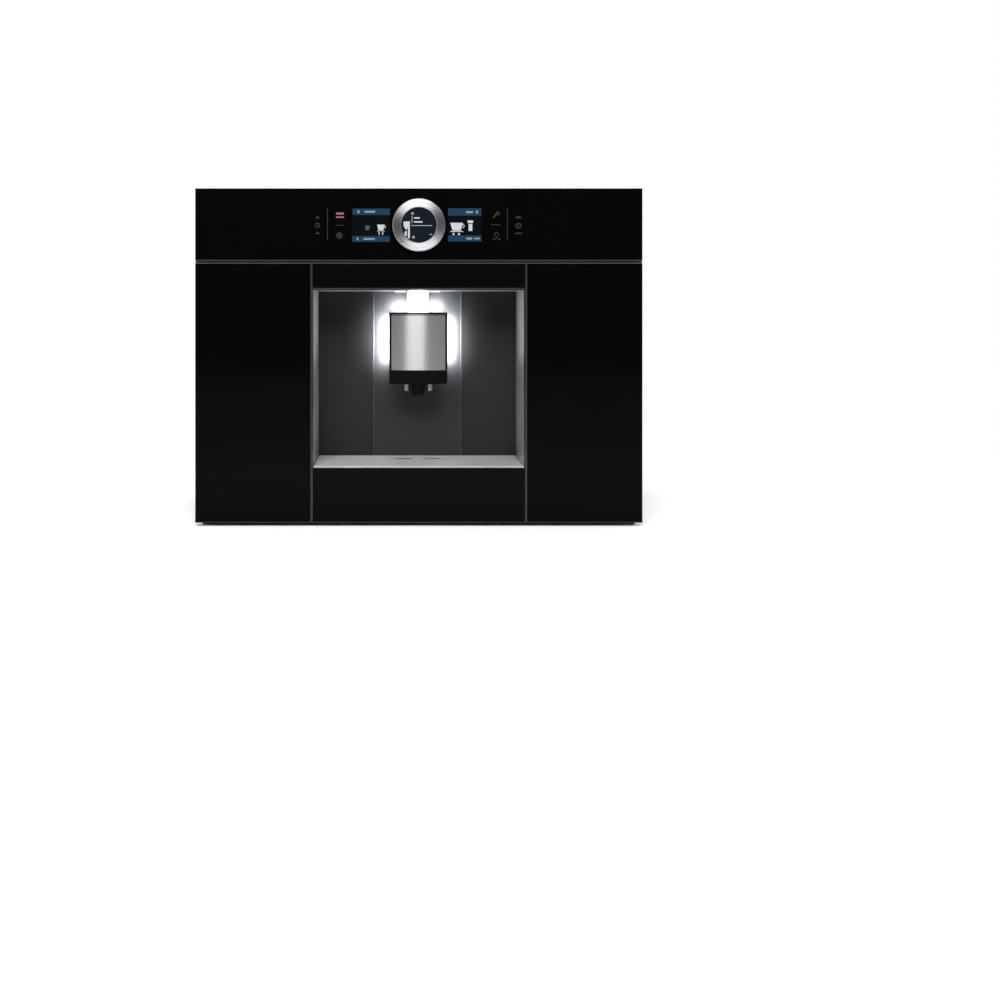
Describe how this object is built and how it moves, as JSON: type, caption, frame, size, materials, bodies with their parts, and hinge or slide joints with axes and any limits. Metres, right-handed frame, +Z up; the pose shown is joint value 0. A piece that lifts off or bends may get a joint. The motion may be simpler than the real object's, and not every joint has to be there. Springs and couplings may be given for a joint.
{
  "type": "built-in coffee machine",
  "caption": "Built-in coffee machine with black glass front, steel selector ring, cup recess with height-adjustable outlet, side-hinged door and brewing parts inside.",
  "frame": {"origin": "middle of the underside, under the middle of the box", "axes": "+X viewer's right, +Y into the cabinet, +Z up"},
  "size_m": [0.594, 0.385, 0.449],
  "materials": {
    "black_glass": "opaque black printed glass, polished",
    "display_glass": "dark display window",
    "brushed_steel": "fine brushed",
    "bright_steel": "bright turned",
    "recess_panel": "satin dark grey",
    "black_plastic": "fine grained",
    "grey_plastic": "moulded",
    "signal_plastic": "moulded red",
    "clear_plastic": "clear moulded",
    "smoke_lid": "moulded",
    "zinc_sheet": "galvanised sheet",
    "lamp_diffuser": "frosted diffuser",
    "white_plastic": "food-safe moulding",
    "cast_aluminium": "as cast",
    "motor_metal": "painted housing",
    "burr_ceramic": "sintered",
    "circuit_board": "solder resist",
    "silicone": "silicone rubber"
  },
  "bodies": {
    "cabinet_body": {"base_tray": "zinc_sheet", "side_panel_left": "zinc_sheet", "side_panel_right": "zinc_sheet", "top_cover": "zinc_sheet", "rear_cover": "zinc_sheet", "front_frame": "black_plastic", "hinge_brackets": "zinc_sheet", "door_catch": "black_plastic", "niche_liner": "brushed_steel", "niche_back_panel": "recess_panel", "niche_lamps": "lamp_diffuser", "outlet_column": "brushed_steel", "drip_tray": "black_plastic", "grounds_container": "grey_plastic", "water_tank": "clear_plastic", "tank_lid": "smoke_lid", "left_shelf": "grey_plastic", "pump": "motor_metal", "thermoblock": "cast_aluminium", "water_hose": "silicone", "brew_hose": "silicone", "brew_unit_frame": "grey_plastic", "brew_chamber": "white_plastic", "right_shelf": "grey_plastic", "bean_container": "clear_plastic", "bean_lid": "smoke_lid", "grinder_housing": "grey_plastic", "burr_ring": "burr_ceramic", "grinder_motor": "motor_metal", "power_board": "circuit_board", "cable_gland": "silicone", "control_housing": "black_plastic", "control_glass": "black_glass", "side_displays": "display_glass", "display_centre": "display_glass", "ring_hub": "black_plastic", "control_board": "circuit_board", "body_screws": "bright_steel"},
    "door": {"door_frame": "black_plastic", "door_glass_left": "black_glass", "door_glass_right": "black_glass", "door_fascia_upper": "black_glass", "door_fascia_lower": "black_glass", "window_trim": "brushed_steel", "hinge_leaves": "zinc_sheet", "hinge_pins": "bright_steel", "door_strike": "bright_steel"},
    "selector_ring": {"selector_ring": "brushed_steel"},
    "outlet": {"outlet_housing": "black_plastic", "coffee_nozzles": "bright_steel", "milk_spout": "black_plastic"},
    "outlet_cover": {"outlet_cover": "brushed_steel"},
    "drip_plate": {"drip_plate": "brushed_steel"},
    "drip_float": {"drip_float": "signal_plastic"},
    "grind_selector": {"grind_selector": "black_plastic"},
    "mains_switch": {"mains_switch": "black_plastic"},
    "brew_lock": {"brew_lock": "signal_plastic"},
    "brew_piston": {"brew_piston": "white_plastic"},
    "brew_spindle": {"brew_spindle": "bright_steel"},
    "burr_cone": {"burr_cone": "burr_ceramic"}
  },
  "joints": [
    {"name": "door_hinge", "type": "hinge", "parent": "cabinet_body", "child": "door", "pos_m": [-0.291, -0.1745, 0.1775], "axis": [0, 0, -1], "range_deg": [0, 100]},
    {"name": "selector_ring_turn", "type": "hinge", "parent": "cabinet_body", "child": "selector_ring", "pos_m": [0, -0.18, 0.4], "axis": [0, 1, 0], "continuous": true},
    {"name": "outlet_height", "type": "slide", "parent": "cabinet_body", "child": "outlet", "axis": [0, 0, 1], "range_m": [-0.032, 0.026]},
    {"name": "outlet_cover_pull", "type": "slide", "parent": "outlet", "child": "outlet_cover", "axis": [0, -1, 0], "range_m": [0, 0.028]},
    {"name": "drip_plate_lift", "type": "slide", "parent": "cabinet_body", "child": "drip_plate", "axis": [0, 0, 1], "range_m": [0, 0.05]},
    {"name": "drip_float_rise", "type": "slide", "parent": "cabinet_body", "child": "drip_float", "axis": [0, 0, 1], "range_m": [0, 0.012]},
    {"name": "grind_selector_turn", "type": "hinge", "parent": "cabinet_body", "child": "grind_selector", "pos_m": [0.19, -0.16, 0.268], "axis": [0, 1, 0], "range_deg": [-60, 60]},
    {"name": "mains_switch_rock", "type": "hinge", "parent": "cabinet_body", "child": "mains_switch", "pos_m": [0.205, -0.161, 0.018], "axis": [1, 0, 0], "range_deg": [-12, 0]},
    {"name": "brew_lock_turn", "type": "hinge", "parent": "cabinet_body", "child": "brew_lock", "pos_m": [0.204, -0.158, 0.227], "axis": [0, -1, 0], "range_deg": [0, 90]},
    {"name": "brew_spindle_turn", "type": "hinge", "parent": "cabinet_body", "child": "brew_spindle", "pos_m": [0.24, -0.1, 0.1], "axis": [0, 0, 1], "range_deg": [0, 1080]},
    {"name": "brew_piston_press", "type": "slide", "parent": "cabinet_body", "child": "brew_piston", "axis": [0, 0, -1], "range_m": [0, 0.036]},
    {"name": "burr_turn", "type": "hinge", "parent": "cabinet_body", "child": "burr_cone", "pos_m": [0.21, 0.025, 0.25], "axis": [0, 0, 1], "continuous": true}
  ],
  "couplings": [
    {"joint": "brew_spindle_turn", "follows": "brew_piston_press", "rad_per_m": 523.59}
  ]
}
